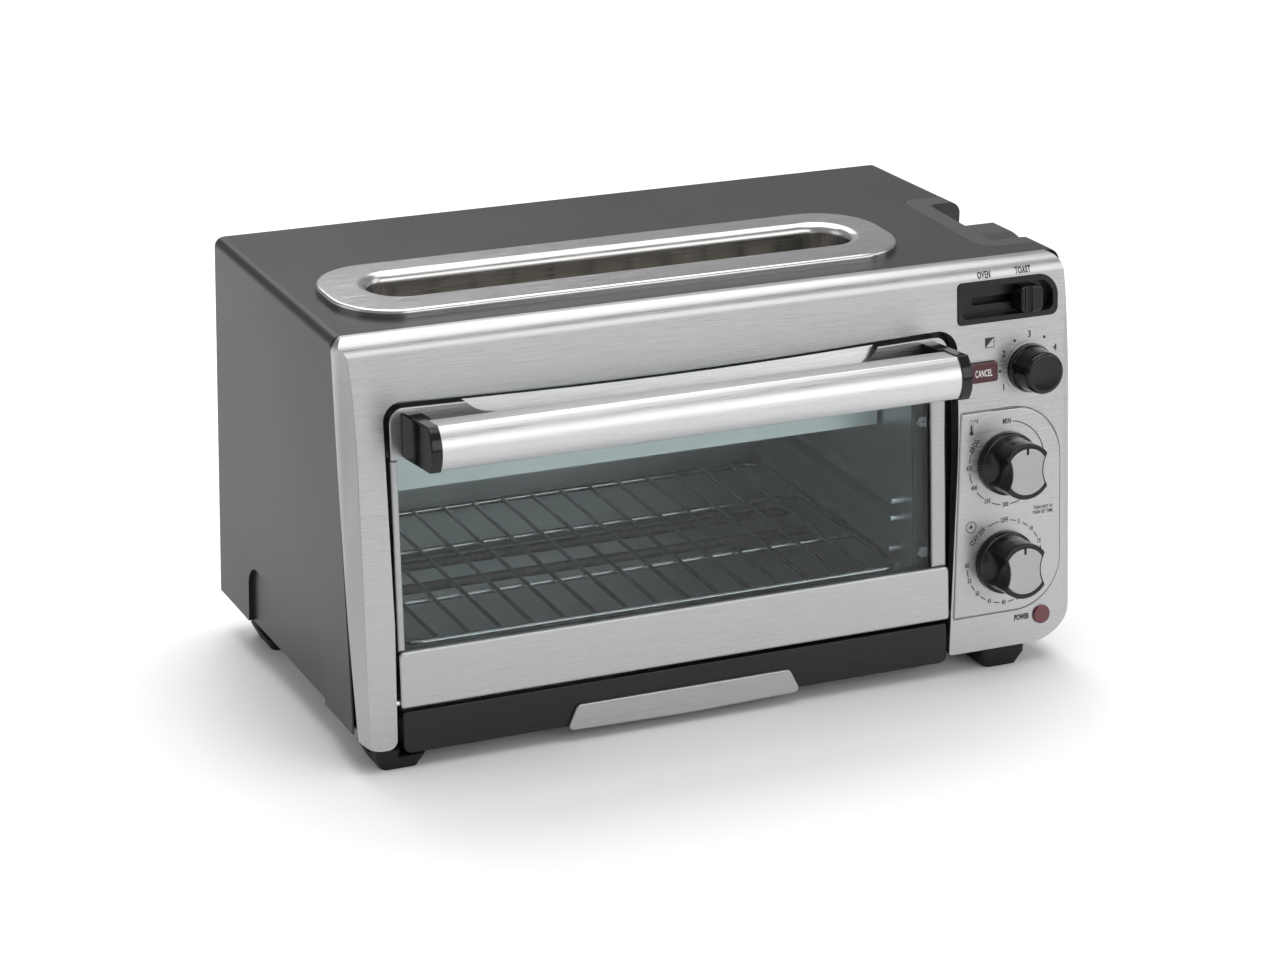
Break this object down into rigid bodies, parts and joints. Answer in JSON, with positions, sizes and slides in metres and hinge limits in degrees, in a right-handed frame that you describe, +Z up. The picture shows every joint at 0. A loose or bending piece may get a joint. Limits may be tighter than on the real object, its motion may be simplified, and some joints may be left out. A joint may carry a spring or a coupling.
{
  "type": "toaster oven",
  "caption": "Counter-top toaster oven with a drop-down glass door, a long bread slot in the top, a lever, rotary controls and a slide-out crumb tray.",
  "frame": {"origin": "bottom centre of the whole oven, on the surface its feet stand on", "axes": "+X to the right seen from the front, along the door hinge; +Y to the back; +Z up"},
  "size_m": [0.48, 0.2854, 0.263],
  "materials": {
    "painted_wrap": "semi-gloss dark grey enamel",
    "brushed_front": "satin brushed, long grain along the width",
    "polished_ring": "fine satin with a polished rolled edge",
    "handle_steel": "fine brushed along its length",
    "satin_trim": "satin",
    "dark_frame": "black enamel",
    "galvanised": "zinc coated sheet",
    "cavity_steel": "aluminised sheet, satin",
    "tray_steel": "aluminised sheet, satin",
    "bright_wire": "bright plated wire",
    "heater_sheath": "dark oxide metal sheath",
    "ribbon_alloy": "resistance ribbon",
    "mica": "mica board",
    "ceramic_white": "steatite",
    "matte_black": "fine spark texture",
    "satin_black": "satin",
    "gloss_black": "polished",
    "foot_black": "matt",
    "rubber_black": "matt",
    "coil_black": "wound coil on an iron core",
    "board_green": "resin board",
    "red_lens": "dark red clear lens",
    "maroon_plastic": "satin",
    "screw_steel": "bright zinc",
    "door_glass": "clear toughened, faint grey-green tint"
  },
  "bodies": {
    "oven_body": {"outer_wrap": "painted_wrap", "back_panel": "galvanised", "base_pan": "galvanised", "front_bezel": "brushed_front", "front_frame": "dark_frame", "cavity_left_wall": "cavity_steel", "cavity_right_wall": "cavity_steel", "cavity_back_wall": "cavity_steel", "cavity_roof": "cavity_steel", "toast_well": "cavity_steel", "heater_boards": "mica", "heater_ribbons": "ribbon_alloy", "bread_guides": "bright_wire", "lower_heaters": "heater_sheath", "heater_insulators": "ceramic_white", "slot_ring": "polished_ring", "lever_housing": "matte_black", "guide_rods": "bright_wire", "return_spring": "bright_wire", "latch_magnet": "coil_black", "thermostat": "galvanised", "timer": "galvanised", "shade_potentiometer": "galvanised", "circuit_board": "board_green", "function_switch": "matte_black", "switch_plate": "satin_black", "power_lens": "red_lens", "front_left_foot": "foot_black", "front_right_foot": "foot_black", "rear_left_foot": "foot_black", "rear_right_foot": "foot_black", "case_screws": "screw_steel", "rear_spacers": "matte_black", "cord_gland": "rubber_black", "hinge_brackets": "galvanised"},
    "door": {"door_glass": "door_glass", "door_bottom_strip": "brushed_front", "door_top_frame": "brushed_front", "door_trims": "satin_trim", "door_handle": "handle_steel", "left_handle_cap": "gloss_black", "right_handle_cap": "gloss_black", "handle_screws": "screw_steel", "hinge_pins": "screw_steel"},
    "rack": {"oven_rack": "bright_wire"},
    "tray": {"crumb_tray": "tray_steel", "tray_front": "satin_black", "tray_grip": "satin_trim"},
    "temperature_control": {"temperature_knob": "gloss_black", "temperature_inlay": "satin_trim", "thermostat_shaft": "screw_steel"},
    "timer_control": {"timer_knob": "gloss_black", "timer_inlay": "satin_trim", "timer_shaft": "screw_steel"},
    "shade_control": {"shade_knob": "gloss_black"},
    "function_control": {"function_slider": "gloss_black"},
    "cancel_control": {"cancel_button": "maroon_plastic"},
    "carriage": {"bread_carriage": "cavity_steel", "lever_bracket": "galvanised", "lever_knob": "matte_black"}
  },
  "joints": [
    {"name": "door_hinge", "type": "hinge", "parent": "oven_body", "child": "door", "pos_m": [-0.03, -0.11142, 0.04029], "axis": [1, 0, 0], "range_deg": [0, 90]},
    {"name": "rack_slide", "type": "slide", "parent": "oven_body", "child": "rack", "axis": [0, -1, 0], "range_m": [0, 0.0314]},
    {"name": "tray_slide", "type": "slide", "parent": "oven_body", "child": "tray", "axis": [0, -1, 0], "range_m": [0, 0.135]},
    {"name": "temperature_turn", "type": "hinge", "parent": "oven_body", "child": "temperature_control", "pos_m": [0.1923, -0.10507, 0.13216], "axis": [0, 0.9937, -0.1123], "range_deg": [0, 300]},
    {"name": "timer_turn", "type": "hinge", "parent": "oven_body", "child": "timer_control", "pos_m": [0.1906, -0.11214, 0.06956], "axis": [0, 0.9937, -0.1123], "range_deg": [-40, 300]},
    {"name": "shade_turn", "type": "hinge", "parent": "oven_body", "child": "shade_control", "pos_m": [0.209, -0.09853, 0.18999], "axis": [0, 0.9937, -0.1123], "range_deg": [-124, 62]},
    {"name": "function_slide", "type": "slide", "parent": "oven_body", "child": "function_control", "axis": [-1, 0, 0], "range_m": [0, 0.032]},
    {"name": "cancel_press", "type": "slide", "parent": "oven_body", "child": "cancel_control", "axis": [0, 0.9937, -0.1123], "range_m": [0, 0.0025], "stiffness_N_per_m": 600, "springref_m": -0.001},
    {"name": "lever_press", "type": "slide", "parent": "oven_body", "child": "carriage", "axis": [0, 0, -1], "range_m": [0, 0.058], "stiffness_N_per_m": 80, "springref_m": -0.06, "deforming": ["return_spring"]}
  ],
  "couplings": [
    {"joint": "rack_slide", "follows": "door_hinge", "m_per_rad": 0.02}
  ]
}
